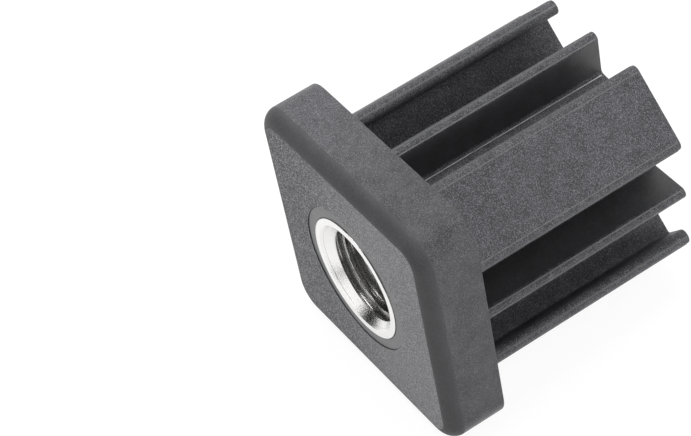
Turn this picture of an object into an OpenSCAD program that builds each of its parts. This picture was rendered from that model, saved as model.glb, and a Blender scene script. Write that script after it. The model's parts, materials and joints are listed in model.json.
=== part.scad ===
// Threaded end plug for a square tube: a moulded plug with a flange, a ribbed insert and a threaded bush.
// The thread axis runs along Y. Y is 0 at the flange's back face, which seats on the end of the tube.
// The mouth of the thread faces -Y and the ribs point towards +Y. The plug lies on one side of its flange.

/* [Flange] */
// Side of the square flange, which is the outside width of the tube
flange_w = 40; // [38:0.5:46]
// Thickness of the flange in front of the tube
flange_t = 9; // [6:0.5:14]
// Radius of the four corners of the flange
flange_corner_r = 4.8; // [2.5:0.1:6]
// Rounding along the front edges of the flange
front_edge_r = 2.2; // [0.5:0.1:2.4]

/* [Insert] */
// Length of the hub and ribs behind the flange
insert_l = 35; // [22:1:50]
// Outside diameter of the round hub
hub_d = 23; // [21.5:0.1:25]
// Diameter of the open bore in the back of the hub
rear_bore_d = 16.8; // [16.4:0.1:18]

/* [Mid-side fins] */
// Reach of each fin from the axis to its rounded tip
fin_reach = 18.4; // [16:0.1:18.8]
// Thickness of each fin
fin_t = 1.8; // [1.2:0.1:3]

/* [Corner bars] */
// Reach of each bar's flat outer face from the axis, along the diagonal
bar_reach = 19.8; // [17:0.1:21]
// Width of each bar over its rounded edges
bar_w = 13.3; // [9:0.1:15]
// Thickness of each bar
bar_t = 2.2; // [1.5:0.1:3]
// Thickness of the stem that joins each bar to the hub
stem_t = 2.6; // [1.6:0.1:5]

/* [Threaded bush] */
// Outside diameter of the bush
bush_d = 19.2; // [18.6:0.1:20.4]
// Length of the bush, from the front face
bush_l = 24; // [16:1:28]
// Nominal diameter of the thread
thread_d = 16; // [12:0.5:16]
// Pitch of the thread
thread_pitch = 2; // [1:0.25:2]
// How much wider than the thread its countersinks open
countersink_over = 1; // [0.4:0.1:1.6]
// Width of the groove that locks the bush in the plastic
lock_groove_w = 4; // [2:0.5:6]
// Depth of the groove that locks the bush in the plastic
lock_groove_h = 0.6; // [0.2:0.1:0.9]
// Number of half-round flutes that stop the bush from turning
flute_count = 8; // [4:1:12]
// Radius of each flute
flute_r = 0.5; // [0.3:0.1:0.7]
// Length of the plain collar at the front of the bush, ahead of its flutes
collar_l = 4; // [2:0.5:6]

/* [Sunk ring] */
// Outside diameter of the smooth ring that is sunk around the bush in the front face
sunk_ring_d = 22.8; // [21:0.1:26]
// Depth of the sunk ring below the front face
sunk_ring_h = 0.2; // [0.1:0.05:0.6]

/* [Hidden] */
$fn = 96;
// Cuts run this far past the face that they open
cut_over = 1;
// Depth of an internal thread of unit pitch, by which its bore is narrower on each side
thread_depth_per_pitch = 0.541266;
thread_bore_d = thread_d - 2 * thread_depth_per_pitch * thread_pitch;
countersink_d = thread_d + countersink_over;
countersink_h = (countersink_d - thread_bore_d) / 2;
front_y = -flange_t;
bush_back_y = front_y + bush_l;
corner_centre = flange_w / 2 - flange_corner_r;
edge_r = min(front_edge_r, flange_corner_r * 0.9);
fin_tip_centre = fin_reach - fin_t / 2;
bar_centre = bar_reach - bar_t / 2;
bar_flat_w = bar_w - bar_t;

// Turns a shape that was drawn along Z so that it lies along Y
module along_y() {
    rotate([-90, 0, 0]) children();
}

// Section of a flange side, from the corner centre outwards, with its rounded front edge at the bottom
module flange_edge_section() {
    square([flange_corner_r - edge_r, flange_t]);
    translate([0, edge_r]) square([flange_corner_r, flange_t - edge_r]);
    intersection() {
        translate([flange_corner_r - edge_r, edge_r]) circle(r = edge_r);
        square([flange_corner_r, flange_t]);
    }
}

// Quarter of a round post at one corner of the flange
module flange_corner() {
    translate([corner_centre, corner_centre, front_y])
        rotate_extrude(angle = 90) flange_edge_section();
}

// Straight side of the flange between two corners
module flange_side() {
    translate([corner_centre, corner_centre, front_y])
        rotate([90, 0, 0]) linear_extrude(height = 2 * corner_centre) flange_edge_section();
}

module flange() {
    translate([-corner_centre, -corner_centre, front_y])
        cube([2 * corner_centre, 2 * corner_centre, flange_t]);
    for (turn = [0:90:270]) rotate(turn) {
        flange_corner();
        flange_side();
    }
}

// Radial fin with a full-round tip
module fin_section() {
    translate([0, -fin_t / 2]) square([fin_tip_centre, fin_t]);
    translate([fin_tip_centre, 0]) circle(d = fin_t);
}

// Stem and cross bar with full-round edges
module corner_bar_section() {
    translate([0, -stem_t / 2]) square([bar_centre, stem_t]);
    translate([bar_reach - bar_t, -bar_flat_w / 2]) square([bar_t, bar_flat_w]);
    for (side = [-1, 1])
        translate([bar_centre, side * bar_flat_w / 2]) circle(d = bar_t);
}

module ribbed_insert() {
    cylinder(d = hub_d, h = insert_l);
    linear_extrude(height = insert_l)
        for (turn = [0:90:270]) {
            rotate(turn) fin_section();
            rotate(turn + 45) corner_bar_section();
        }
}

// Outer form of the bush, which the plastic is moulded round
module bush_envelope() {
    difference() {
        translate([0, 0, front_y]) cylinder(d = bush_d, h = bush_l);
        translate([0, 0, front_y + (bush_l + collar_l - lock_groove_w) / 2]) difference() {
            cylinder(d = bush_d + cut_over, h = lock_groove_w);
            cylinder(d = bush_d - 2 * lock_groove_h, h = lock_groove_w);
        }
        for (i = [0:flute_count - 1])
            rotate(i * 360 / flute_count)
                translate([bush_d / 2, 0, front_y + collar_l])
                    cylinder(r = flute_r, h = bush_l - collar_l + cut_over);
    }
}

module thread_bore() {
    translate([0, 0, front_y - cut_over])
        cylinder(d = thread_bore_d, h = bush_l + 2 * cut_over);
    translate([0, 0, front_y])
        cylinder(d1 = countersink_d, d2 = thread_bore_d, h = countersink_h);
    translate([0, 0, bush_back_y - countersink_h])
        cylinder(d1 = thread_bore_d, d2 = countersink_d, h = countersink_h);
}

module plug_body() {
    color([0.13, 0.13, 0.14]) along_y() difference() {
        union() {
            flange();
            ribbed_insert();
        }
        bush_envelope();
        translate([0, 0, front_y - cut_over])
            cylinder(d = sunk_ring_d, h = sunk_ring_h + cut_over);
        translate([0, 0, bush_back_y])
            cylinder(d = rear_bore_d, h = insert_l - bush_back_y + cut_over);
    }
}

module threaded_bush() {
    color([0.82, 0.81, 0.79]) along_y() difference() {
        bush_envelope();
        thread_bore();
    }
}

plug_body();
threaded_bush();
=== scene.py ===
"""Threaded end plug for a square tube, modelled, dressed and lit for a studio still.

The thread axis runs along Y, the mouth of the thread faces -Y and the plug lies on one side of its flange.
Scene lengths are metres. Sizes are written in millimetres and multiplied by MM.
"""
from __future__ import annotations

import json
import logging
import math
from contextlib import contextmanager
from dataclasses import dataclass
from enum import Enum
from typing import Callable, Iterator, Sequence

import bmesh
import bpy
from mathutils import Matrix, Vector

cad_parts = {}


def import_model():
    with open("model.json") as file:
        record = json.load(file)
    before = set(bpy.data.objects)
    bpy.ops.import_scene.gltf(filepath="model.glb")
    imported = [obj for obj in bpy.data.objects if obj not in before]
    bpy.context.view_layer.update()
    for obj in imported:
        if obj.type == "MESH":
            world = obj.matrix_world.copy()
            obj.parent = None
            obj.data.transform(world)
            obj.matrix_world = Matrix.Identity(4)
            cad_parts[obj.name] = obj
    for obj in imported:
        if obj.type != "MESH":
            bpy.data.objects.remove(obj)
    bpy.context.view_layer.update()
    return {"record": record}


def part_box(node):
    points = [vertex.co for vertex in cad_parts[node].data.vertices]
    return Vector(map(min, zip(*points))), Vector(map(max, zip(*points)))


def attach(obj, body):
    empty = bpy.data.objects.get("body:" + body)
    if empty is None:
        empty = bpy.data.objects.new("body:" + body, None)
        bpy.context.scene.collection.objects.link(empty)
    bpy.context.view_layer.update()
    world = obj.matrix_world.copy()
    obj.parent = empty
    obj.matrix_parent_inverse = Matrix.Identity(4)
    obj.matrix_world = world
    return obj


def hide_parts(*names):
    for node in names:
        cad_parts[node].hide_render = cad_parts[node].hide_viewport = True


LOG = logging.getLogger("threaded_plug")
MM = 0.001
QUARTER_TURN = math.pi / 2
FULL_TURN = 2 * math.pi
# Two vertices closer than this are one
WELD = 0.0005 * MM
# Faces that meet at less than this angle, in degrees, are shaded as one surface
SMOOTH_ANGLE = 32
# Share of the light grain colour in the plastic's mean tone
EVEN_TONE = 0.25
# Chance values at which a pit of the grain starts to be a pale speck, and is wholly one
SPECK_FROM, SPECK_FULL = 0.6, 0.9
CLOUD_SIZE = 2.6 * MM
# Noise values between which the clouding goes from none to full
CLOUD_FROM, CLOUD_FULL = 0.3, 0.7
# Directions of the mid-side fins and of the corner bars in degrees, from X towards Z
FIN_TURNS = (0, 90, 180, 270)
BAR_TURNS = (45, 135, 225, 315)

Point = tuple[float, float]
Colour = tuple[float, float, float]
EdgeTest = Callable[[Vector, Vector], bool]


class Join(Enum):
    """How one workpiece is combined with another."""

    ADD = "UNION"
    CUT = "DIFFERENCE"


class Zone(Enum):
    """Finishes of the moulding, in the order of its material slots."""

    GRAINED = 0
    SMOOTH = 1
    # Polished, and darkened with painted shade, on the fins' sides
    POLISHED = 2
    # Pale flash lines at the fins' roots, a painted glint
    FLASH = 3
    FILLET = 4


def arc(centre: Point, radius: float, start: float, end: float, steps: int) -> list[Point]:
    """Points along a circular arc.

    Args:
        centre: Middle of the circle.
        radius: Radius of the circle.
        start: First angle in degrees.
        end: Last angle in degrees.
        steps: Number of equal steps between the two.

    Returns:
        The steps + 1 points, both ends included.
    """
    angles = [math.radians(start + (end - start) * i / steps) for i in range(steps + 1)]
    return [(centre[0] + radius * math.cos(a), centre[1] + radius * math.sin(a)) for a in angles]


def eased(corners: Sequence[tuple[float, float, float]], steps: int, closed: bool) -> list[Point]:
    """Round the corners of a path.

    Args:
        corners: Each corner's two coordinates and its radius, which may be 0.
        steps: Steps in each rounded corner.
        closed: Whether the last corner joins the first.

    Returns:
        The points of the rounded path.
    """
    points: list[Point] = []
    count = len(corners)
    for i, (a, b, radius) in enumerate(corners):
        here = Vector((a, b))
        if radius <= 0 or (not closed and i in (0, count - 1)):
            points.append((a, b))
            continue
        back = (Vector(corners[i - 1][:2]) - here).normalized()
        ahead = (Vector(corners[(i + 1) % count][:2]) - here).normalized()
        half = back.angle(ahead) / 2
        middle = here + (back + ahead).normalized() * (radius / math.sin(half))
        first = here + back * (radius / math.tan(half)) - middle
        last = here + ahead * (radius / math.tan(half)) - middle
        sweep = first.angle(last)
        for step in range(steps + 1):
            t = step / steps
            spoke = (first * math.sin((1 - t) * sweep) + last * math.sin(t * sweep)) / math.sin(sweep)
            points.append(tuple(middle + spoke))
    return points


def turned(point: Point, degrees: float) -> Point:
    """Turn a point about the axis, from X towards Z."""
    angle = math.radians(degrees)
    return (point[0] * math.cos(angle) - point[1] * math.sin(angle),
            point[0] * math.sin(angle) + point[1] * math.cos(angle))


def bearing(azimuth: float, elevation: float) -> Vector:
    """Unit vector towards an azimuth, from X towards Y, and an elevation, both in degrees."""
    around, up = math.radians(azimuth), math.radians(elevation)
    return Vector((math.cos(up) * math.cos(around), math.cos(up) * math.sin(around), math.sin(up)))


def deselect_all() -> None:
    """Leave nothing selected, so that an operator acts on the new piece alone."""
    bpy.ops.object.select_all(action="DESELECT")


class Workpiece:
    """A mesh object that is shaped with edit-mode operators, as on a bench."""

    def __init__(self, name: str) -> None:
        """Take the newly added, active object and bake its place into its mesh.

        Args:
            name: Name for the object and its mesh.
        """
        self.obj: bpy.types.Object = bpy.context.object
        self.obj.name = name
        self.obj.data.name = name
        bpy.ops.object.transform_apply(location=True, rotation=True, scale=True)

    @classmethod
    def block(cls, name: str, low: Vector, high: Vector) -> Workpiece:
        """Add a box.

        Args:
            name: Name of the box.
            low: Its corner with the least coordinates.
            high: Its corner with the greatest coordinates.

        Returns:
            The box.
        """
        deselect_all()
        bpy.ops.mesh.primitive_cube_add(size=1.0, location=(low + high) / 2, scale=high - low)
        return cls(name)

    @classmethod
    def rod(cls, name: str, radius: float, y0: float, y1: float, centre: Point = (0.0, 0.0),
            facets: int = 96) -> Workpiece:
        """Add a round rod along Y.

        Args:
            name: Name of the rod.
            radius: Its radius.
            y0: Its near end.
            y1: Its far end.
            centre: Its X and Z.
            facets: Number of its sides.

        Returns:
            The rod.
        """
        deselect_all()
        bpy.ops.mesh.primitive_cylinder_add(vertices=facets, radius=radius, depth=y1 - y0,
                                            location=(centre[0], (y0 + y1) / 2, centre[1]),
                                            rotation=(QUARTER_TURN, 0.0, 0.0))
        return cls(name)

    @classmethod
    def path(cls, name: str, points: Sequence[Vector], closed: bool) -> Workpiece:
        """Draw a line by extruding one vertex from point to point.

        Args:
            name: Name of the piece.
            points: The points that the line passes.
            closed: Whether the line returns to its first point.

        Returns:
            The drawn line.
        """
        deselect_all()
        bpy.ops.mesh.primitive_plane_add(size=MM, location=points[0])
        piece = cls(name)
        stops = [*points, points[0]] if closed else list(points)
        with piece.editing("VERT"):
            bpy.ops.mesh.select_all(action="SELECT")
            bpy.ops.mesh.merge(type="CENTER")
            for here, there in zip(stops, stops[1:]):
                bpy.ops.mesh.extrude_region_move(TRANSFORM_OT_translate={"value": there - here})
            piece.weld()
        return piece

    @classmethod
    def turning(cls, name: str, section: Sequence[Point], closed: bool, steps: int) -> Workpiece:
        """Turn a piece on the lathe, about the thread axis.

        Args:
            name: Name of the piece.
            section: Radius and Y of each point of its half section.
            closed: Whether the half section returns to its first point.
            steps: Number of its sides.

        Returns:
            The turned piece.
        """
        piece = cls.path(name, [Vector((radius, y, 0.0)) for radius, y in section], closed)
        with piece.editing("EDGE"):
            bpy.ops.mesh.select_all(action="SELECT")
            bpy.ops.mesh.spin(steps=steps, angle=FULL_TURN, center=(0.0, 0.0, 0.0), axis=(0.0, 1.0, 0.0))
            piece.weld()
            piece.face_outwards()
        return piece

    @contextmanager
    def editing(self, element: str) -> Iterator[bmesh.types.BMesh]:
        """Open the mesh in edit mode with nothing selected.

        Args:
            element: What is picked, VERT, EDGE or FACE.

        Yields:
            The mesh being edited.
        """
        self.activate()
        bpy.ops.object.mode_set(mode="EDIT")
        bpy.ops.mesh.select_mode(type=element)
        bpy.ops.mesh.select_all(action="DESELECT")
        yield bmesh.from_edit_mesh(self.obj.data)
        bpy.ops.object.mode_set(mode="OBJECT")

    def activate(self) -> None:
        """Make this the only selected object and the active one."""
        deselect_all()
        self.obj.select_set(True)
        bpy.context.view_layer.objects.active = self.obj

    def weld(self) -> None:
        """Merge vertices that lie on one another, in edit mode."""
        bpy.ops.mesh.select_all(action="SELECT")
        bpy.ops.mesh.remove_doubles(threshold=WELD)

    def face_outwards(self) -> None:
        """Turn every face outwards, in edit mode."""
        bpy.ops.mesh.select_all(action="SELECT")
        bpy.ops.mesh.normals_make_consistent(inside=False)

    def round_edges(self, test: EdgeTest, radius: float, segments: int, profile: float = 0.5) -> None:
        """Round the edges that pass a test.

        Args:
            test: Takes the two ends of an edge.
            radius: Radius of the rounding.
            segments: Number of facets across it.
            profile: Its shape, from 0.25 for a chamfer to 0.5 for an arc.
        """
        with self.editing("EDGE") as mesh:
            for edge in mesh.edges:
                edge.select_set(test(edge.verts[0].co, edge.verts[1].co))
            bmesh.update_edit_mesh(self.obj.data)
            bpy.ops.mesh.bevel(offset=radius, segments=segments, profile=profile, affect="EDGES",
                               clamp_overlap=False)

    def fill_and_extrude(self, length: float) -> None:
        """Fill a closed line with a face and draw it out along Y.

        Args:
            length: How far it is drawn out.
        """
        with self.editing("EDGE"):
            bpy.ops.mesh.select_all(action="SELECT")
            bpy.ops.mesh.edge_face_add()
            bpy.ops.mesh.extrude_region_move(TRANSFORM_OT_translate={"value": (0.0, length, 0.0)})
            self.face_outwards()

    def combine(self, other: Workpiece, how: Join) -> None:
        """Add another workpiece to this one, or cut it away, and use it up.

        Args:
            other: The other workpiece.
            how: Whether it is added or cut away.
        """
        self.activate()
        bpy.ops.object.modifier_add(type="BOOLEAN")
        modifier = self.obj.modifiers[-1]
        modifier.operation = how.value
        modifier.solver = "EXACT"
        modifier.object = other.obj
        bpy.ops.object.modifier_apply(modifier=modifier.name)
        other.activate()
        bpy.ops.object.delete()

    def absorb(self, others: Sequence[Workpiece]) -> None:
        """Join other workpieces into this one's mesh as they are.

        Args:
            others: The other workpieces, which touch nothing.
        """
        self.activate()
        for other in others:
            other.obj.select_set(True)
        bpy.ops.object.join()

    def shade(self) -> None:
        """Shade smoothly, with flat faces kept flat and sharp edges kept sharp."""
        self.activate()
        bpy.ops.object.shade_smooth_by_angle(angle=math.radians(SMOOTH_ANGLE))
        bpy.ops.object.modifier_add(type="WEIGHTED_NORMAL")
        modifier = self.obj.modifiers[-1]
        modifier.keep_sharp = True
        modifier.weight = 100
        bpy.ops.object.modifier_apply(modifier=modifier.name)


class NodeSheet:
    """A node tree with short ways to add nodes and join them."""

    def __init__(self, tree: bpy.types.NodeTree) -> None:
        """Keep the tree that the nodes go into."""
        self.tree = tree

    def add(self, kind: str, **settings: object) -> bpy.types.Node:
        """Add a node.

        Args:
            kind: The node's type name.
            settings: Properties to set on it.

        Returns:
            The node.
        """
        node = self.tree.nodes.new(kind)
        for key, value in settings.items():
            setattr(node, key, value)
        return node

    def feed(self, source: bpy.types.NodeSocket | float, target: bpy.types.NodeSocket) -> None:
        """Join a socket to an input, or set the input to a number.

        Args:
            source: The socket or the number.
            target: The input.
        """
        if isinstance(source, bpy.types.NodeSocket):
            self.tree.links.new(source, target)
        else:
            target.default_value = source

    def math(self, operation: str, *values: bpy.types.NodeSocket | float,
             clamp: bool = False) -> bpy.types.NodeSocket:
        """Add a Math node.

        Args:
            operation: What it works out.
            values: Its inputs, sockets or numbers.
            clamp: Whether its result is held between 0 and 1.

        Returns:
            Its result.
        """
        node = self.add("ShaderNodeMath", operation=operation, use_clamp=clamp)
        for value, socket in zip(values, node.inputs):
            self.feed(value, socket)
        return node.outputs[0]

    def fade(self, value: bpy.types.NodeSocket, start: float, end: float,
             low: float = 0.0, high: float = 1.0) -> bpy.types.NodeSocket:
        """Map a value smoothly from one range to another, held at its ends.

        Args:
            value: The value.
            start: Where the first range starts.
            end: Where it ends.
            low: The result at the start.
            high: The result at the end.

        Returns:
            The result.
        """
        node = self.add("ShaderNodeMapRange", interpolation_type="SMOOTHSTEP", clamp=True)
        for socket, number in zip(node.inputs[1:5], (start, end, low, high)):
            socket.default_value = number
        self.feed(value, node.inputs[0])
        return node.outputs[0]

    def noise(self, place: bpy.types.NodeSocket, size: float, dimensions: str = "3D", detail: float = 3.0,
              roughness: float = 0.5) -> bpy.types.NodeSocket:
        """Add a noise.

        Args:
            place: Where it is read, a place in 3D or a number in 1D.
            size: About how wide its features are, in metres.
            dimensions: 3D or 1D.
            detail: How many finer layers it has.
            roughness: How strong the finer layers are.

        Returns:
            Its value, from 0 to 1.
        """
        node = self.add("ShaderNodeTexNoise", noise_dimensions=dimensions)
        self.feed(place, node.inputs["Vector" if dimensions == "3D" else "W"])
        node.inputs["Scale"].default_value = 1 / size
        node.inputs["Detail"].default_value = detail
        node.inputs["Roughness"].default_value = roughness
        return node.outputs["Fac"]

    def mix(self, factor: bpy.types.NodeSocket, low: bpy.types.NodeSocket | float,
            high: bpy.types.NodeSocket | float) -> bpy.types.NodeSocket:
        """Mix two values.

        Args:
            factor: Share of the second value.
            low: The first value.
            high: The second value.

        Returns:
            The mixed value.
        """
        node = self.add("ShaderNodeMix", data_type="FLOAT")
        for value, name in ((factor, "Factor"), (low, "A"), (high, "B")):
            self.feed(value, node.inputs[name])
        return node.outputs["Result"]

    def mix_colour(self, factor: bpy.types.NodeSocket, low: Colour, high: Colour) -> bpy.types.NodeSocket:
        """Mix two colours.

        Args:
            factor: Share of the second colour.
            low: The first colour.
            high: The second colour.

        Returns:
            The mixed colour.
        """
        node = self.add("ShaderNodeMix", data_type="RGBA")
        self.feed(factor, node.inputs["Factor"])
        node.inputs["A"].default_value = (*low, 1.0)
        node.inputs["B"].default_value = (*high, 1.0)
        return node.outputs["Result"]

    def bump(self, height: bpy.types.NodeSocket) -> bpy.types.NodeSocket:
        """Turn a height in metres into a normal.

        Args:
            height: The height.

        Returns:
            The normal.
        """
        node = self.add("ShaderNodeBump")
        node.inputs["Strength"].default_value = 1.0
        node.inputs["Distance"].default_value = 1.0
        self.feed(height, node.inputs["Height"])
        return node.outputs["Normal"]


def new_material(name: str) -> tuple[bpy.types.Material, NodeSheet, bpy.types.Node]:
    """Make a material with a plain Principled shader.

    Args:
        name: Its name.

    Returns:
        The material, its node sheet and its shader.
    """
    material = bpy.data.materials.new(name)
    material.use_nodes = True
    return material, NodeSheet(material.node_tree), material.node_tree.nodes["Principled BSDF"]


def spark_grain_group() -> bpy.types.NodeTree:
    """Build the grain of a spark-eroded mould once: small pits, a speckle and soft clouding.

    Returns:
        The node group, with outputs Height, Speck and Cloud.
    """
    name = "spark_grain"
    if name in bpy.data.node_groups:
        return bpy.data.node_groups[name]
    group = bpy.data.node_groups.new(name, "ShaderNodeTree")
    for taken_in in ("Pit Size", "Depth"):
        group.interface.new_socket(taken_in, in_out="INPUT", socket_type="NodeSocketFloat")
    for put_out in ("Height", "Speck", "Cloud"):
        group.interface.new_socket(put_out, in_out="OUTPUT", socket_type="NodeSocketFloat")
    sheet = NodeSheet(group)
    taken = sheet.add("NodeGroupInput").outputs
    given = sheet.add("NodeGroupOutput").inputs
    place = sheet.add("ShaderNodeTexCoord").outputs["Object"]
    cells = sheet.add("ShaderNodeTexVoronoi", voronoi_dimensions="3D", feature="F1")
    sheet.feed(place, cells.inputs["Vector"])
    sheet.feed(sheet.math("DIVIDE", 1.0, taken["Pit Size"]), cells.inputs["Scale"])
    sheet.feed(sheet.math("MULTIPLY", cells.outputs["Distance"], taken["Depth"]), given["Height"])
    chance = sheet.add("ShaderNodeSeparateColor")
    sheet.feed(cells.outputs["Color"], chance.inputs[0])
    sheet.feed(sheet.fade(chance.outputs[0], SPECK_FROM, SPECK_FULL), given["Speck"])
    sheet.feed(sheet.fade(sheet.noise(place, CLOUD_SIZE), CLOUD_FROM, CLOUD_FULL), given["Cloud"])
    return group


@dataclass(frozen=True)
class MouldedPlastic:
    """Dark glass-filled plastic from a spark-eroded mould.

    The flange is worn towards +X, and painted shade darkens its faces beside the front there. Its front face
    has the coarsest grain.

    Attributes:
        name: Name of the material.
        dark: Colour between the specks.
        light: Colour of a speck.
        roughness: Roughness where it is not worn.
        pit_size: Width of a pit.
        pit_depth: Depth of a pit.
        worn_roughness: Roughness where it is worn.
        worn_grain: Share of the grain that is left where it is worn.
        worn_side_shade_tone: Share of the light colour on the worn sides of the flange, where a lower value
            paints shade on them.
        side_grain: Share of the specks' contrast that is left beside the front face.
        rib_shade_tone: Share of the light colour on the ribs, where a lower value paints shade on them.
        front_coarseness: Size of the front face's pits, as a share of the others'.
        specular: Specular level.
        rib_blend: Y between which the ribs' tone, with its painted shade, comes in.
        front_blend: Depths under the front face between which its own grain ends.
        wear_blend: X between which the wear comes in.
        cloud_swing: How far the clouding moves the tone from end to end.
    """

    name: str
    dark: Colour
    light: Colour
    roughness: float
    pit_size: float
    pit_depth: float
    worn_roughness: float
    worn_grain: float = 1.0
    worn_side_shade_tone: float = EVEN_TONE
    side_grain: float = 1.0
    rib_shade_tone: float = EVEN_TONE
    front_coarseness: float = 1.0
    specular: float = 0.5
    rib_blend: Point = (0.0, 0.4 * MM)
    front_blend: Point = (0.01 * MM, 0.02 * MM)
    wear_blend: Point = (-14 * MM, 10 * MM)
    cloud_swing: float = 0.06

    def material(self, front: float) -> bpy.types.Material:
        """Build the material.

        Args:
            front: Y of the front face.

        Returns:
            The finished material.
        """
        material, sheet, shader = new_material(self.name)
        shader.inputs["Specular IOR Level"].default_value = self.specular
        grain = sheet.add("ShaderNodeGroup", node_tree=spark_grain_group())
        split = sheet.add("ShaderNodeSeparateXYZ")
        sheet.feed(sheet.add("ShaderNodeTexCoord").outputs["Object"], split.inputs[0])
        x, y = split.outputs[:2]
        ribs = sheet.fade(y, *self.rib_blend)
        beside = sheet.fade(y, *(front + depth for depth in self.front_blend))
        worn = sheet.math("MULTIPLY", sheet.fade(x, *self.wear_blend), sheet.math("SUBTRACT", 1.0, ribs))
        coarseness = sheet.mix(beside, self.front_coarseness, 1.0)
        sheet.feed(sheet.math("MULTIPLY", coarseness, self.pit_size), grain.inputs["Pit Size"])
        sheet.feed(sheet.math("MULTIPLY", coarseness, self.pit_depth), grain.inputs["Depth"])
        crispness = sheet.mix(worn, 1.0, self.worn_grain)
        contrast = sheet.math("MULTIPLY", crispness, sheet.mix(beside, 1.0, self.side_grain))
        speck = sheet.math("MULTIPLY", sheet.math("SUBTRACT", grain.outputs["Speck"], EVEN_TONE), contrast)
        cloud = sheet.math("MULTIPLY", sheet.math("SUBTRACT", grain.outputs["Cloud"], 0.5), self.cloud_swing)
        # Painted shade: the mean tone is lowered on the flange's faces beside its front, towards +X
        even = sheet.mix(sheet.math("MULTIPLY", worn, beside), EVEN_TONE, self.worn_side_shade_tone)
        # Painted shade: the mean tone is lowered on the ribs
        even = sheet.mix(ribs, even, self.rib_shade_tone)
        tone = sheet.math("ADD", sheet.math("ADD", speck, even), cloud, clamp=True)
        sheet.feed(sheet.mix_colour(tone, self.dark, self.light), shader.inputs["Base Color"])
        sheet.feed(sheet.mix(worn, self.roughness, self.worn_roughness), shader.inputs["Roughness"])
        height = sheet.math("MULTIPLY", grain.outputs["Height"], crispness)
        sheet.feed(sheet.bump(height), shader.inputs["Normal"])
        return material


@dataclass(frozen=True)
class PlatedSteel:
    """Bright nickel plate over turned steel, duller in the thread.

    Attributes:
        name: Name of the material.
        bright: Colour of the plate.
        dull: Colour in the thread.
        roughness: Roughness of the plate.
        thread_roughness: Roughness in the thread.
        ring_pitch: Distance between the rings that the tool left.
        ring_depth: Depth of the rings.
        thread_ring_depth: Depth of the rings in the thread.
        mottle_size: Width of the unevenness of the plate.
        mottle_depth: Depth of the unevenness, outside the thread.
        thread_blend: Radii between which the thread's finish comes in.
        bore_blend: Depths under the front face between which the thread's finish comes in.
        wear_tone: How much the rings and the unevenness dull the colour.
        mottle_roughness: How much the unevenness roughens the plate.
    """

    name: str
    bright: Colour
    dull: Colour
    roughness: float
    thread_roughness: float
    ring_pitch: float
    ring_depth: float
    thread_ring_depth: float
    mottle_size: float
    mottle_depth: float
    thread_blend: Point = (7.2 * MM, 6.9 * MM)
    bore_blend: Point = (1.3 * MM, 1.6 * MM)
    wear_tone: float = 0.12
    mottle_roughness: float = 0.1

    def material(self, front: float) -> bpy.types.Material:
        """Build the material.

        Args:
            front: Y of the front face.

        Returns:
            The finished material.
        """
        material, sheet, shader = new_material(self.name)
        shader.inputs["Metallic"].default_value = 1.0
        place = sheet.add("ShaderNodeTexCoord").outputs["Object"]
        split = sheet.add("ShaderNodeSeparateXYZ")
        sheet.feed(place, split.inputs[0])
        x, y, z = split.outputs
        squares = sheet.math("ADD", sheet.math("POWER", x, 2.0), sheet.math("POWER", z, 2.0))
        radius = sheet.math("SQRT", squares)
        # The rings run round the axis, each at its own distance along the cut
        rings = sheet.noise(sheet.math("SUBTRACT", y, radius), self.ring_pitch, dimensions="1D")
        mottle = sheet.noise(place, self.mottle_size, roughness=0.65)
        behind = sheet.fade(y, *(front + depth for depth in self.bore_blend))
        in_thread = sheet.math("MAXIMUM", sheet.fade(radius, *self.thread_blend), behind)
        wear = sheet.math("MULTIPLY", sheet.math("ADD", mottle, rings), self.wear_tone)
        tone = sheet.math("ADD", in_thread, wear, clamp=True)
        sheet.feed(sheet.mix_colour(tone, self.bright, self.dull), shader.inputs["Base Color"])
        rough = sheet.math("ADD", sheet.mix(in_thread, self.roughness, self.thread_roughness),
                           sheet.math("MULTIPLY", mottle, self.mottle_roughness))
        sheet.feed(rough, shader.inputs["Roughness"])
        ring_depth = sheet.mix(in_thread, self.ring_depth, self.thread_ring_depth)
        mottle_depth = sheet.mix(in_thread, self.mottle_depth, 0.0)
        height = sheet.math("ADD", sheet.math("MULTIPLY", rings, ring_depth),
                            sheet.math("MULTIPLY", mottle, mottle_depth))
        sheet.feed(sheet.bump(height), shader.inputs["Normal"])
        return material


@dataclass(frozen=True)
class FloorPaint:
    """Pale floor that the camera sees as white, with the object's shadow on it.

    Attributes:
        name: Name of the material.
        colour: Paint that lights the plug from below, as a grey.
        seen_colour: Paint that the camera sees, which takes the shadow.
        seen_lift: White that is added to what the camera sees.
        mirrored_colour: Paint that shows in reflections.
        mirrored_lift: White that is added in reflections.
        roughness: Roughness of the paint.
    """

    name: str
    colour: float
    seen_colour: float
    seen_lift: float
    mirrored_colour: float
    mirrored_lift: float
    roughness: float = 0.9

    def material(self) -> bpy.types.Material:
        """Build the material.

        Returns:
            The finished material.
        """
        material, sheet, shader = new_material(self.name)
        shader.inputs["Roughness"].default_value = self.roughness
        shader.inputs["Specular IOR Level"].default_value = 0.0
        shader.inputs["Emission Color"].default_value = (1.0, 1.0, 1.0, 1.0)
        rays = sheet.add("ShaderNodeLightPath").outputs
        seen = rays["Is Camera Ray"]
        mirrored = sheet.math("MAXIMUM", rays["Is Glossy Ray"], rays["Is Transmission Ray"])
        paint = sheet.mix(seen, sheet.mix(mirrored, self.colour, self.mirrored_colour), self.seen_colour)
        sheet.feed(paint, shader.inputs["Base Color"])
        lift = sheet.mix(seen, sheet.math("MULTIPLY", mirrored, self.mirrored_lift), self.seen_lift)
        sheet.feed(lift, shader.inputs["Emission Strength"])
        return material


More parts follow.
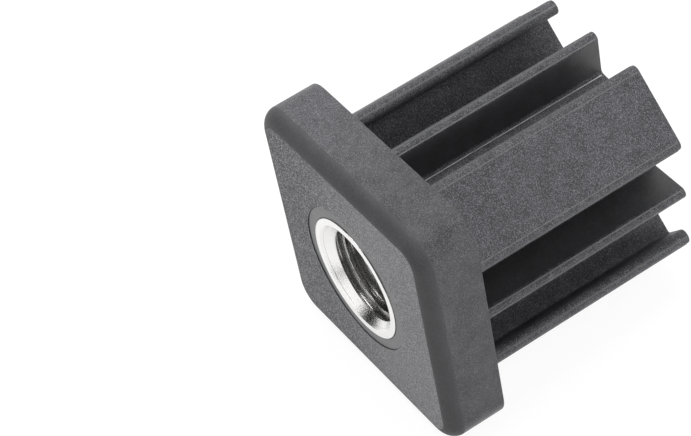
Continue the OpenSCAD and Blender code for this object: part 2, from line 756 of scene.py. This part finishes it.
# The plastic's finishes, in the order of its material slots
PLASTIC = {
    Zone.GRAINED: MouldedPlastic(
        "grained_plastic", dark=(0.004, 0.004, 0.005), light=(0.324, 0.32, 0.355), roughness=0.44,
        # The worn side's lower tone is painted shade
        pit_size=0.085 * MM, pit_depth=0.04 * MM, worn_roughness=0.27, worn_grain=0.6, worn_side_shade_tone=0.14,
        # The ribs' lower tone is painted shade
        side_grain=0.37, rib_shade_tone=0.19, front_coarseness=1.45, specular=0.33),
    Zone.SMOOTH: MouldedPlastic(
        "smooth_plastic", dark=(0.085, 0.085, 0.088), light=(0.11, 0.11, 0.114), roughness=0.36,
        pit_size=0.3 * MM, pit_depth=0.004 * MM, worn_roughness=0.36),
    # Fin sides between the ribs: polished, and dark as painted shade
    Zone.POLISHED: MouldedPlastic(
        "polish_and_shade_plastic", dark=(0.03, 0.03, 0.032), light=(0.2, 0.198, 0.21), roughness=0.38,
        pit_size=0.2 * MM, pit_depth=0.006 * MM, worn_roughness=0.38, side_grain=0.08, rib_shade_tone=0.06),
    # Pale flash lines at the fins' roots: a painted glint
    Zone.FLASH: MouldedPlastic(
        "flash_glint_plastic", dark=(0.4, 0.4, 0.405), light=(0.6, 0.6, 0.61), roughness=0.36,
        pit_size=0.2 * MM, pit_depth=0.004 * MM, worn_roughness=0.36),
    Zone.FILLET: MouldedPlastic(
        "fillet_plastic", dark=(0.058, 0.058, 0.06), light=(0.165, 0.163, 0.173), roughness=0.5,
        # The worn side's lower tone is painted shade
        pit_size=0.1 * MM, pit_depth=0.01 * MM, worn_roughness=0.5, worn_side_shade_tone=0.15, side_grain=0.2,
        specular=0.1),
}
NICKEL = PlatedSteel(
    "nickel_plate", bright=(0.77, 0.765, 0.75), dull=(0.64, 0.635, 0.63), roughness=0.15,
    thread_roughness=0.15, ring_pitch=0.15 * MM, ring_depth=0.006 * MM, thread_ring_depth=0.03 * MM,
    mottle_size=0.22 * MM, mottle_depth=0.026 * MM)
WHITE_FLOOR = FloorPaint(
    "white_floor", colour=0.82, seen_colour=0.1, seen_lift=0.93, mirrored_colour=0.35, mirrored_lift=0.78)


@dataclass
class ThreadedBush:
    """The turned metal bush, with its countersinks and its M16 thread.

    Attributes:
        front: Y of its front face.
        outer_r: Its outer radius.
        bore_r: Radius of the thread's crests.
        length: Its length.
        thread_r: Radius of the thread's roots.
        pitch: Pitch of the thread.
        flank_angle: Slope of the thread's flanks in degrees.
        root_flat: Half the width of a root, as a share of the pitch.
        crest_r: Rounding of the crests.
        root_r: Rounding of the roots.
        thread_start: Y of a root of the thread where it crosses +X.
        thread_steps: Number of sides of a turn of the thread.
        spare_turns: Turns of the tap past the bush, both ends together.
        drill_under: How much smaller the drilled bore is than the crests.
        countersink_over: How much wider than the thread the countersinks open.
        mouth_edge_r: Rounding of the countersinks' edges.
        edge_r: Rounding of the outer edges.
        tool_mark_r: Radius of the step that the tool left on the front countersink.
        tool_mark: Height of that step.
        collar: Length of the plain collar behind the front face.
        groove_w: Width of the groove round the outside.
        groove_h: Depth of that groove.
        flutes: Number of flutes along the outside.
        flute_r: Radius of a flute.
        flute_facets: Number of sides of a flute's cutter.
        over: How far cutters reach past what they cut.
        steps: Number of sides of the turned forms.
        edge_steps: Facets of a rounded edge.
    """

    front: float
    outer_r: float
    bore_r: float
    length: float
    thread_r: float = 8 * MM
    pitch: float = 2 * MM
    flank_angle: float = 30.0
    root_flat: float = 1 / 16
    crest_r: float = 0.07 * MM
    root_r: float = 0.13 * MM
    thread_start: float = 0.26 * MM
    thread_steps: int = 72
    spare_turns: int = 4
    drill_under: float = 0.4 * MM
    countersink_over: float = 0.5 * MM
    mouth_edge_r: float = 0.05 * MM
    edge_r: float = 0.08 * MM
    tool_mark_r: float = 8.15 * MM
    tool_mark: float = 0.035 * MM
    collar: float = 4 * MM
    groove_w: float = 4 * MM
    groove_h: float = 0.6 * MM
    flutes: int = 8
    flute_r: float = 0.5 * MM
    flute_facets: int = 24
    over: float = 1 * MM
    steps: int = 96
    edge_steps: int = 4

    @property
    def back(self) -> float:
        """Y of the bush's back face."""
        return self.front + self.length

    @property
    def mouth_r(self) -> float:
        """Radius at which each countersink opens."""
        return self.thread_r + self.countersink_over

    @property
    def neck_r(self) -> float:
        """Radius at the bottom of the groove."""
        return self.outer_r - self.groove_h

    def groove(self) -> tuple[float, float]:
        """Both ends of the groove that locks the bush in the plastic."""
        middle = self.front + (self.length + self.collar) / 2
        return middle - self.groove_w / 2, middle + self.groove_w / 2

    def envelope(self, name: str, front: float) -> Workpiece:
        """Turn the outer form of the bush as one solid bar.

        Args:
            name: Name of the piece.
            front: Y of its front end.

        Returns:
            The fluted and grooved bar.
        """
        low, high = self.groove()
        section = [(0.0, front), (self.outer_r, front), (self.outer_r, low), (self.neck_r, low),
                   (self.neck_r, high), (self.outer_r, high), (self.outer_r, self.back), (0.0, self.back)]
        bar = Workpiece.turning(name, section, closed=False, steps=self.steps)
        self.cut_flutes(bar)
        return bar

    def cut_flutes(self, bar: Workpiece) -> None:
        """Cut the half-round flutes that stop the bush from turning.

        Args:
            bar: The piece that they are cut into.
        """
        for i in range(self.flutes):
            centre = turned((self.outer_r, 0.0), i * 360 / self.flutes)
            flute = Workpiece.rod("flute", self.flute_r, self.front + self.collar, self.back + self.over,
                                  centre, self.flute_facets)
            bar.combine(flute, Join.CUT)

    def blank(self) -> Workpiece:
        """Turn the bush with a plain bore that the tap then opens.

        Returns:
            The blank.
        """
        drill_r = self.bore_r - self.drill_under
        sink = self.mouth_r - drill_r
        low, high = self.groove()
        mark_y = self.front + self.mouth_r - self.tool_mark_r
        mark_end = mark_y + self.tool_mark
        front_half = [(drill_r, self.front + sink, 0.0), (self.tool_mark_r - self.tool_mark, mark_end, 0.0),
                      (self.tool_mark_r, mark_end, 0.0), (self.tool_mark_r, mark_y, 0.0),
                      (self.mouth_r, self.front, self.mouth_edge_r), (self.outer_r, self.front, self.edge_r),
                      (self.outer_r, low, 0.0), (self.neck_r, low, 0.0)]
        back_half = [(self.neck_r, high, 0.0), (self.outer_r, high, 0.0),
                     (self.outer_r, self.back, self.edge_r), (self.mouth_r, self.back, self.mouth_edge_r),
                     (drill_r, self.back - sink, 0.0)]
        section = eased(front_half + back_half, self.edge_steps, closed=True)
        bush = Workpiece.turning("threaded_bush_metal", section, closed=True, steps=self.steps)
        self.cut_flutes(bush)
        return bush

    def tap(self) -> Workpiece:
        """Make a tap whose surface is the whole inside of the thread.

        Returns:
            The closed tap.
        """
        flank = (self.thread_r - self.bore_r) * math.tan(math.radians(self.flank_angle))
        root_half = self.pitch * self.root_flat
        half = self.pitch / 2
        corners = [(self.bore_r, -half, 0.0), (self.bore_r, -root_half - flank, self.crest_r),
                   (self.thread_r, -root_half, self.root_r), (self.thread_r, root_half, self.root_r),
                   (self.bore_r, root_half + flank, self.crest_r), (self.bore_r, half, 0.0)]
        turns = math.ceil(self.length / self.pitch + self.spare_turns)
        before = math.ceil((self.thread_start - self.front) / self.pitch) + 1
        start = self.thread_start - before * self.pitch
        profile = eased(corners, self.edge_steps - 1, closed=False)
        tap = Workpiece.path("tap", [Vector((r, start + y, 0.0)) for r, y in profile], closed=False)
        tap.activate()
        bpy.ops.object.modifier_add(type="SCREW")
        screw = tap.obj.modifiers[-1]
        screw.axis = "Y"
        screw.angle = FULL_TURN
        screw.screw_offset = self.pitch
        screw.iterations = turns
        screw.steps = self.thread_steps
        screw.render_steps = self.thread_steps
        screw.use_merge_vertices = True
        screw.merge_threshold = WELD
        bpy.ops.object.modifier_apply(modifier=screw.name)
        for apex in (start, start + turns * self.pitch):
            self.cap(tap, apex)
        with tap.editing("EDGE"):
            tap.weld()
            tap.face_outwards()
        return tap

    def cap(self, tap: Workpiece, apex: float) -> None:
        """Close one open end of the tap with a fan of faces to a point on the axis.

        Args:
            tap: The open tap.
            apex: Y of the point on the axis, in the middle of the open end.
        """
        low, high = apex - self.pitch, apex + self.pitch
        with tap.editing("EDGE") as mesh:
            for edge in mesh.edges:
                inside = all(low <= vert.co.y <= high for vert in edge.verts)
                edge.select_set(edge.is_boundary and inside)
            bmesh.update_edit_mesh(tap.obj.data)
            bpy.ops.mesh.extrude_region_move(TRANSFORM_OT_translate={"value": (0.0, 0.0, 0.0)})
            bpy.ops.transform.resize(value=(0.0, 0.0, 0.0), center_override=(0.0, apex, 0.0))
            bpy.ops.mesh.merge(type="CENTER")

    def build(self) -> Workpiece:
        """Make the bush, tap it and plate it.

        Returns:
            The finished bush.
        """
        bush = self.blank()
        bush.combine(self.tap(), Join.CUT)
        bush.shade()
        bush.obj.data.materials.append(NICKEL.material(self.front))
        return bush


@dataclass
class PlugBody:
    """The one-piece moulding: flange, hub, mid-side fins and corner bars.

    Attributes:
        half_w: Half the width of the flange.
        flange_t: Thickness of the flange.
        insert_l: Length of the ribs behind the flange.
        rear_bore_r: Radius of the bore behind the bush.
        bush: The bush that it is moulded round.
        corner_r: Rounding of the flange's corners.
        corner_steps: Facets of that rounding.
        front_edge_r: Rounding of the flange's front edge.
        front_edge_steps: Facets of that rounding.
        front_edge_profile: Shape of that rounding, slightly flatter than an arc.
        rear_edge_r: Rounding of the flange's rear edge.
        hub_r: Radius of the hub.
        fin_reach: How far a fin reaches from the axis.
        fin_t: Thickness of a fin.
        bar_reach: How far a bar reaches from the axis.
        bar_w: Width of a bar.
        bar_t: Thickness of a bar.
        stem_t: Thickness of a bar's stem.
        root_r: Rounding where fins and stems meet the hub.
        bar_root_r: Rounding where a stem meets its bar.
        rib_end_r: Rounding of the far ends.
        fine_steps: Facets of the rear edge's and the far ends' roundings.
        root_steps: Facets of the roundings at the hub.
        round_steps: Facets of half a fin's tip, of an eighth of the hub and of the roundings under a bar.
        end_steps: Facets of a bar's rounded edge.
        flash_r: Radius of a flash line.
        flash_facets: Number of its sides.
        tip_flash: Angle between the middle flash line of a fin's tip and those beside it, in degrees.
        bar_flash: Angle between the two flash lines of a bar's rounded edge, in degrees.
        ring_r: Radius of the sunk ring.
        ring_depth: Depth of the sunk ring.
        witness: Size of the small bevel round the sunk ring's floor.
        gap_w: Width of the gap round the bush.
        gap_depth: Depth of that gap.
        over: How far cutters reach past what they cut.
    """

    half_w: float
    flange_t: float
    insert_l: float
    rear_bore_r: float
    bush: ThreadedBush
    corner_r: float = 4.8 * MM
    corner_steps: int = 12
    front_edge_r: float = 2.15 * MM
    front_edge_steps: int = 8
    front_edge_profile: float = 0.46
    rear_edge_r: float = 0.12 * MM
    hub_r: float = 11.5 * MM
    fin_reach: float = 18.4 * MM
    fin_t: float = 1.8 * MM
    bar_reach: float = 19.8 * MM
    bar_w: float = 13.3 * MM
    bar_t: float = 2.2 * MM
    stem_t: float = 2.6 * MM
    root_r: float = 0.5 * MM
    bar_root_r: float = 0.35 * MM
    rib_end_r: float = 0.2 * MM
    fine_steps: int = 2
    root_steps: int = 4
    round_steps: int = 8
    end_steps: int = 14
    flash_r: float = 0.07 * MM
    flash_facets: int = 8
    tip_flash: float = 66.0
    bar_flash: float = 80.0
    ring_r: float = 11.4 * MM
    ring_depth: float = 0.14 * MM
    witness: float = 0.08 * MM
    gap_w: float = 0.1 * MM
    gap_depth: float = 0.3 * MM
    over: float = 1 * MM

    def flange(self) -> Workpiece:
        """Make the square flange with its round corners and rounded front edge.

        Returns:
            The flange.
        """
        low = Vector((-self.half_w, -self.flange_t, -self.half_w))
        high = Vector((self.half_w, 0.0, self.half_w))
        flange = Workpiece.block("plug_moulding", low, high)
        flange.round_edges(lambda a, b: abs(a.y - b.y) > self.flange_t / 2, self.corner_r, self.corner_steps)
        front = -self.flange_t + WELD
        flange.round_edges(lambda a, b: max(a.y, b.y) < front, self.front_edge_r, self.front_edge_steps,
                           self.front_edge_profile)
        flange.round_edges(lambda a, b: min(a.y, b.y) > -WELD, self.rear_edge_r, self.fine_steps)
        return flange

    def half_rib_line(self) -> list[Point]:
        """Outline of the insert from the middle of a fin's tip to the middle of a corner bar's face.

        Returns:
            The points, turning from X towards Z.
        """
        tip_r, stem, end_r = self.fin_t / 2, self.stem_t / 2, self.bar_t / 2
        root, wide = self.root_r, self.bar_root_r
        reach = self.hub_r + root
        points = arc((self.fin_reach - tip_r, 0.0), tip_r, 0, 90, self.round_steps)
        across = tip_r + root
        along = math.sqrt(reach ** 2 - across ** 2)
        toe = math.degrees(math.atan2(across, along))
        points += arc((along, across), root, 270, 180 + toe, self.root_steps)
        across = stem + root
        along = math.sqrt(reach ** 2 - across ** 2)
        heel = math.degrees(math.atan2(across, along))
        points += arc((0.0, 0.0), self.hub_r, toe, 45 - heel, self.round_steps)[1:-1]
        inner = self.bar_reach - self.bar_t
        flat = self.bar_w / 2 - end_r
        bar = arc((along, -across), root, 180 - heel, 90, self.root_steps)
        bar += arc((inner - wide, -stem - wide), wide, 90, 0, self.round_steps)
        bar += arc((self.bar_reach - end_r, -flat), end_r, 180, 360, self.end_steps)
        return points + [turned(point, BAR_TURNS[0]) for point in bar]

    def insert(self) -> Workpiece:
        """Extrude the hub with its fins and bars, and ease the edges of its far end.

        Returns:
            The insert.
        """
        half = self.half_rib_line()
        quarter = half + [(across, along) for along, across in reversed(half)][:-1]
        outline = [turned(point, turn) for turn in FIN_TURNS for point in quarter]
        start = -self.over
        insert = Workpiece.path("ribbed_insert", [Vector((x, start, z)) for x, z in outline], closed=True)
        insert.fill_and_extrude(self.insert_l + self.over)
        far = self.insert_l - WELD
        insert.round_edges(lambda a, b: min(a.y, b.y) > far, self.rib_end_r, self.fine_steps)
        return insert

    def flash_places(self) -> list[Point]:
        """Find where flash lines run: along the fin tips, the fin roots and the rounded edges of the bars.

        Returns:
            X and Z of each line.
        """
        tip_r, end_r = self.fin_t / 2, self.bar_t / 2
        edge = (self.bar_reach - end_r, self.bar_w / 2 - end_r)
        tip = arc((self.fin_reach - tip_r, 0.0), tip_r, -self.tip_flash, self.tip_flash, 2)
        roots = [(self.hub_r, side * (tip_r + self.root_r)) for side in (-1, 1)]
        ends = [(along, side * across) for along, across in arc(edge, end_r, 0, self.bar_flash, 1)
                for side in (-1, 1)]
        places = [turned(place, turn) for turn in FIN_TURNS for place in tip + roots]
        return places + [turned(place, turn) for turn in BAR_TURNS for place in ends]

    def flash_lines(self) -> Workpiece:
        """Make the fine flash lines that run along the insert.

        Returns:
            All the lines as one piece.
        """
        far = self.insert_l - self.over / 2
        lines = [Workpiece.rod("flash_line", self.flash_r, -self.over, far, place, self.flash_facets)
                 for place in self.flash_places()]
        lines[0].absorb(lines[1:])
        return lines[0]

    def sunk_ring(self) -> Workpiece:
        """Make the cutter for the sunk ring, with the bevel round its floor and the gap round the bush.

        Returns:
            The cutter.
        """
        front = -self.flange_t
        floor = front + self.ring_depth
        bottom = floor + self.gap_depth
        gap_r = self.bush.outer_r + self.gap_w
        section = [(0.0, front - self.over), (self.ring_r, front - self.over),
                   (self.ring_r, floor + self.witness), (self.ring_r - self.witness, floor), (gap_r, floor),
                   (gap_r, bottom), (0.0, bottom)]
        return Workpiece.turning("sunk_ring", section, closed=False, steps=self.bush.steps)

    def build(self) -> Workpiece:
        """Join the flange and the insert, and cut the pocket, the sunk ring and the rear bore.

        Returns:
            The finished moulding.
        """
        body = self.flange()
        body.combine(self.insert(), Join.ADD)
        body.combine(self.flash_lines(), Join.ADD)
        body.combine(self.bush.envelope("pocket", -self.flange_t - self.over), Join.CUT)
        body.combine(self.sunk_ring(), Join.CUT)
        bore = Workpiece.rod("rear_bore", self.rear_bore_r, self.bush.back - WELD, self.insert_l + self.over)
        body.combine(bore, Join.CUT)
        self.dress(body)
        body.shade()
        return body

    def dress(self, body: Workpiece) -> None:
        """Give every face of the moulding its finish.

        Args:
            body: The moulding.
        """
        mesh = body.obj.data
        for zone in Zone:
            mesh.materials.append(PLASTIC[zone].material(-self.flange_t))
        flash = self.flash_places()
        for face in mesh.polygons:
            corners = [mesh.vertices[i].co for i in face.vertices]
            face.material_index = self.zone(corners, face.center, flash).value

    def zone(self, corners: Sequence[Vector], centre: Vector, flash: Sequence[Point]) -> Zone:
        """Tell which finish a face has from where it lies.

        Args:
            corners: The face's corners.
            centre: The face's middle.
            flash: X and Z of the flash lines.

        Returns:
            Smooth on the sunk ring and the flash lines, apart from the pale ones along the roots of the fins,
            which carry a painted glint, matt on the front fillets, polished and darkened with painted shade
            on the sides of the fins, and grained elsewhere.
        """
        spans = [math.hypot(corner.x, corner.z) for corner in corners]
        near, far = min(corner.y for corner in corners), max(corner.y for corner in corners)
        if max(spans) < self.ring_r + WELD and far < -self.flange_t + 2 * self.ring_depth:
            return Zone.SMOOTH
        if near < -self.flange_t / 2:
            fillet = far > -self.flange_t + WELD and far < -self.flange_t + self.front_edge_r + WELD
            return Zone.FILLET if fillet and max(spans) > self.ring_r + WELD else Zone.GRAINED
        if min(math.dist(place, (centre.x, centre.z)) for place in flash) < self.flash_r + WELD:
            # Flash lines at the fins' roots are pale, a painted glint; the others are smooth
            return Zone.FLASH if max(spans) < self.hub_r + self.root_r else Zone.SMOOTH
        beside_fin = max(min(abs(corner.x), abs(corner.z)) for corner in corners) < self.fin_t / 2 + WELD
        inward = max(spans) < math.hypot(self.fin_reach - self.fin_t / 2, self.fin_t / 2) + WELD
        # The fins' sides get the polished finish, darkened as painted shade
        return Zone.POLISHED if beside_fin and inward and min(spans) > self.hub_r else Zone.GRAINED


@dataclass(frozen=True)
class Softbox:
    """A round softbox that points at the plug.

    Attributes:
        name: Name of the softbox.
        azimuth: Its bearing from the plug in degrees, from X towards Y.
        elevation: Its height above the horizon in degrees.
        spread: Half the angle that it covers as seen from the plug, in degrees.
        radiance: Its brightness, where 1 is white.
        distance: How far it hangs from the plug.
    """

    name: str
    azimuth: float
    elevation: float
    spread: float
    radiance: float
    distance: float = 0.8

    def hang(self, aim: Vector) -> None:
        """Hang the softbox.

        Args:
            aim: The point that it faces.
        """
        place = aim + bearing(self.azimuth, self.elevation) * self.distance
        radius = self.distance * math.tan(math.radians(self.spread))
        deselect_all()
        bpy.ops.object.light_add(type="AREA", location=place)
        lamp = bpy.context.object
        lamp.name = self.name
        lamp.data.shape = "DISK"
        lamp.data.size = 2 * radius
        lamp.data.energy = self.radiance * math.pi * math.pi * radius ** 2
        lamp.rotation_euler = (place - aim).to_track_quat("Z", "Y").to_euler()


@dataclass(frozen=True)
class Backdrop:
    """A broad white backdrop behind the plug, which the camera sees as plain white on every side.

    Attributes:
        azimuth: Bearing of its middle in degrees, from X towards Y.
        elevation: Height of its middle in degrees.
        middle: Strength in its middle.
        dim: Strength away from it.
        edge: Cosine of the angle from its middle at which it ends.
        full: Cosine of the angle from its middle up to which it has its full strength.
    """

    azimuth: float
    elevation: float
    middle: float
    dim: float
    edge: float
    full: float

    def hang(self) -> None:
        """Make it the world's light."""
        world = bpy.data.worlds.new("studio")
        bpy.context.scene.world = world
        world.use_nodes = True
        sheet = NodeSheet(world.node_tree)
        background = world.node_tree.nodes["Background"]
        background.inputs["Color"].default_value = (1.0, 1.0, 1.0, 1.0)
        facing = sheet.add("ShaderNodeVectorMath", operation="DOT_PRODUCT")
        sheet.feed(sheet.add("ShaderNodeTexCoord").outputs["Generated"], facing.inputs[0])
        facing.inputs[1].default_value = bearing(self.azimuth, self.elevation)
        light = sheet.fade(facing.outputs["Value"], self.edge, self.full, self.dim, self.middle)
        seen = sheet.add("ShaderNodeLightPath").outputs["Is Camera Ray"]
        sheet.feed(sheet.mix(seen, light, 1.0), background.inputs["Strength"])


@dataclass(frozen=True)
class Viewpoint:
    """Where the photograph was taken from.

    Attributes:
        place: Where the camera stands.
        aim: The point in the middle of its picture.
        roll: How far it is turned about its own axis, in degrees.
        focal_px: Its focal length in pixels of the picture.
        picture_w: Width of the picture in pixels.
        sensor: Width of its sensor in millimetres.
        clip: Nearest and farthest distance that it sees.
    """

    place: Vector
    aim: Vector
    roll: float
    focal_px: float
    picture_w: float = 691.0
    sensor: float = 36.0
    clip: Point = (0.01, 20.0)

    def set_camera(self) -> None:
        """Set up the camera as the photograph was taken."""
        deselect_all()
        bpy.ops.object.camera_add(location=self.place)
        camera = bpy.context.object
        camera.name = "camera"
        camera.data.sensor_width = self.sensor
        camera.data.lens = self.focal_px * self.sensor / self.picture_w
        camera.data.clip_start, camera.data.clip_end = self.clip
        level = (self.place - self.aim).to_track_quat("Z", "Y").to_matrix()
        rolled = level @ Matrix.Rotation(math.radians(self.roll), 3, "Z")
        camera.rotation_euler = rolled.to_euler()
        bpy.context.scene.camera = camera


SOFTBOXES = (
    Softbox("top_softbox", azimuth=-160, elevation=77, spread=21, radiance=5.6),
    Softbox("back_softbox", azimuth=98, elevation=72, spread=8, radiance=8),
    Softbox("low_side_softbox", azimuth=23, elevation=8, spread=14, radiance=6.5, distance=0.35),
    Softbox("high_side_softbox", azimuth=50, elevation=37, spread=14, radiance=5.6, distance=0.3),
    Softbox("front_softbox", azimuth=-94, elevation=12, spread=27, radiance=1.25),
)
BACKDROP = Backdrop(azimuth=144, elevation=5, middle=1.43, dim=0.02, edge=0.41, full=0.94)
VIEWPOINT = Viewpoint(place=Vector((227.91, -115.42, 262.43)) * MM, aim=Vector((-9.44, -3.91, 1.37)) * MM,
                      roll=-12.5, focal_px=2622.6)


@dataclass
class Studio:
    """Floor, lights, world and camera.

    Attributes:
        floor_edge: Point of the flange's lowest edge that the floor touches.
        floor_tip: Point of the lowest fin's end that the floor touches.
        floor_size: Width of the floor.
        floor_cuts: Cuts across the floor.
    """

    floor_edge: Vector
    floor_tip: Vector
    floor_size: float = 3.0
    floor_cuts: int = 4

    def floor(self) -> None:
        """Lay the floor under the flange's edge and the end of the lowest fin."""
        deselect_all()
        slope = math.atan2(self.floor_tip.z - self.floor_edge.z, self.floor_tip.y - self.floor_edge.y)
        bpy.ops.mesh.primitive_plane_add(size=self.floor_size, location=self.floor_edge,
                                         rotation=(slope, 0.0, 0.0))
        floor = Workpiece("floor")
        with floor.editing("FACE"):
            bpy.ops.mesh.select_all(action="SELECT")
            bpy.ops.mesh.subdivide(number_cuts=self.floor_cuts)
        floor.obj.data.materials.append(WHITE_FLOOR.material())

    def build(self) -> None:
        """Lay the floor, light it and set up the camera."""
        self.floor()
        BACKDROP.hang()
        for softbox in SOFTBOXES:
            softbox.hang(VIEWPOINT.aim)
        VIEWPOINT.set_camera()
        bpy.context.scene.view_settings.view_transform = "Standard"


def mount_radius(record: dict, name: str) -> float:
    """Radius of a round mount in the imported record.

    Args:
        record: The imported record.
        name: The mount's name.

    Returns:
        The radius in metres.
    """
    return next(mount for mount in record["mounts"] if mount["name"] == name)["dims"]["r_mm"] * MM


def place_piece(piece: Workpiece, node: str) -> None:
    """Let a piece stand for a CAD node and ride on the body.

    Args:
        piece: The piece.
        node: The CAD node that it replaces.
    """
    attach(piece.obj, "root")
    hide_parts(node)
    mesh = piece.obj.data
    LOG.info("%s: %d faces, %d vertices, in place of %s", piece.obj.name, len(mesh.polygons),
             len(mesh.vertices), node)


def main() -> None:
    """Build the plug around the frame, then the studio."""
    logging.basicConfig(level=logging.INFO, format="%(message)s")
    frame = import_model()
    low, high = (Vector(corner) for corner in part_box("plug_body"))
    bush_low, bush_high = (Vector(corner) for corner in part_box("threaded_bush"))
    bush = ThreadedBush(front=bush_low.y, outer_r=bush_high.x, bore_r=mount_radius(frame["record"], "thread"),
                        length=bush_high.y - bush_low.y)
    body = PlugBody(half_w=high.x, flange_t=-low.y, insert_l=high.y,
                    rear_bore_r=mount_radius(frame["record"], "stud_bore"), bush=bush)
    place_piece(body.build(), "plug_body")
    place_piece(bush.build(), "threaded_bush")
    Studio(floor_edge=Vector((0.0, 0.0, low.z)),
           floor_tip=Vector((0.0, body.insert_l, -body.fin_reach))).build()
    LOG.info("studio: %d softboxes, floor, backdrop and camera", len(SOFTBOXES))


if __name__ == "__main__":
    main()
